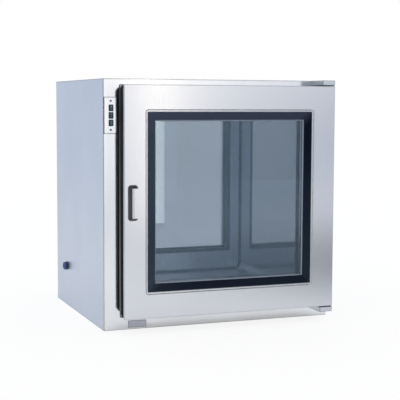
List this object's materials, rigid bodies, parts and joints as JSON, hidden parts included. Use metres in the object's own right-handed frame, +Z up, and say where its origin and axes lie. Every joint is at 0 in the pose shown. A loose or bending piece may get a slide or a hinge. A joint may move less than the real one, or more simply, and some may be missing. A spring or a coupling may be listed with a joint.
{
  "type": "cleanroom pass box",
  "caption": "Stainless pass box: a cabinet with a coved chamber through it, a gasketed double-glazed door on each face, rocker switches and an interlock.",
  "frame": {"origin": "centre of the case's underside, on the surface it stands on", "axes": "+X to the right of the front face, +Y from the front face to the rear face, +Z up"},
  "size_m": [0.754, 0.7472, 0.753],
  "materials": {
    "case_steel": "fine satin sheet, slightly blue from its surroundings",
    "frame_steel": "mirror polished sheet",
    "door_steel": "finely satined sheet with a soft sheen",
    "inner_pan_steel": "satin sheet",
    "chamber_steel": "mirror polished, faintly wavy sheet",
    "hidden_steel": "plain mill finish sheet",
    "hinge_steel": "ground and polished block",
    "magnet_steel": "plated steel, satin",
    "screw_steel": "dull stainless fastener",
    "edge_rubber": "matt black moulded rubber",
    "glazing_rubber": "satin blue-black extruded section",
    "window_glass": "clear glass with a faint blue-green tint",
    "lamp_glass": "clear quartz tube",
    "spacer_aluminium": "satin bar",
    "plate_aluminium": "fine satin plate",
    "rail_plate_grey": "grey matt plate, bare",
    "pull_plastic": "dark grey moulded plastic",
    "black_plastic": "black moulded plastic",
    "gland_plastic": "blue-black moulded plastic",
    "rocker_plastic": "smoked blue-green glossy plastic",
    "bearing_plastic": "ivory low-friction plastic",
    "white_plastic": "white moulded plastic",
    "diffuser": "opal sheet",
    "circuit_board": "green board"
  },
  "bodies": {
    "cabinet": {"left_side_panel": "case_steel", "right_side_panel": "case_steel", "top_cover": "case_steel", "bottom_cover": "case_steel", "front_frame": "frame_steel", "rear_frame": "frame_steel", "chamber_wrap": "chamber_steel", "chamber_ceiling": "chamber_steel", "side_stiffeners": "hidden_steel", "hinge_blocks": "hinge_steel", "hinge_pins": "hinge_steel", "thrust_washers": "bearing_plastic", "front_interlock_magnet": "magnet_steel", "rear_interlock_magnet": "magnet_steel", "door_sensors": "white_plastic", "lamp_housing": "hidden_steel", "led_diffuser": "diffuser", "led_board": "circuit_board", "uv_tube": "lamp_glass", "uv_lamp_holders": "white_plastic", "uv_ballast": "white_plastic", "power_supply": "hidden_steel", "interlock_board": "circuit_board", "terminal_block": "white_plastic", "control_plate": "plate_aluminium", "control_plate_screws": "screw_steel", "rocker_housings": "black_plastic", "gland_body": "black_plastic", "gland_dome_nut": "gland_plastic", "gland_locknut": "black_plastic", "rail_plate": "rail_plate_grey", "service_cover": "case_steel", "service_cover_screws": "screw_steel"},
    "front_door": {"front_outer_pan": "door_steel", "front_door_core": "edge_rubber", "front_inner_pan": "inner_pan_steel", "front_gasket": "edge_rubber", "front_glazing_frame": "glazing_rubber", "front_inner_seal": "edge_rubber", "front_panes": "window_glass", "front_pane_spacer": "spacer_aluminium", "front_pull_cup": "pull_plastic", "front_hinge_bushes": "bearing_plastic", "front_armature": "magnet_steel", "front_sensor_magnet": "white_plastic"},
    "rear_door": {"rear_outer_pan": "door_steel", "rear_door_core": "edge_rubber", "rear_inner_pan": "inner_pan_steel", "rear_gasket": "edge_rubber", "rear_glazing_frame": "glazing_rubber", "rear_inner_seal": "edge_rubber", "rear_panes": "window_glass", "rear_pane_spacer": "spacer_aluminium", "rear_pull_cup": "pull_plastic", "rear_hinge_bushes": "bearing_plastic", "rear_armature": "magnet_steel", "rear_sensor_magnet": "white_plastic"},
    "light_switch": {"light_rocker": "rocker_plastic"},
    "uv_switch": {"uv_rocker": "rocker_plastic"},
    "power_switch": {"power_rocker": "rocker_plastic"}
  },
  "joints": [
    {"name": "front_door_hinge", "type": "hinge", "parent": "cabinet", "child": "front_door", "pos_m": [0.34, -0.345, 0.38875], "axis": [0, 0, 1], "range_deg": [0, 120]},
    {"name": "rear_door_hinge", "type": "hinge", "parent": "cabinet", "child": "rear_door", "pos_m": [0.34, 0.345, 0.38875], "axis": [0, 0, -1], "range_deg": [0, 120]},
    {"name": "light_switch_tip", "type": "hinge", "parent": "cabinet", "child": "light_switch", "pos_m": [-0.3465, -0.2981, 0.664], "axis": [1, 0, 0], "range_deg": [0, 14]},
    {"name": "uv_switch_tip", "type": "hinge", "parent": "cabinet", "child": "uv_switch", "pos_m": [-0.3465, -0.2981, 0.642], "axis": [1, 0, 0], "range_deg": [0, 14]},
    {"name": "power_switch_tip", "type": "hinge", "parent": "cabinet", "child": "power_switch", "pos_m": [-0.3465, -0.2981, 0.62], "axis": [1, 0, 0], "range_deg": [0, 14]}
  ]
}
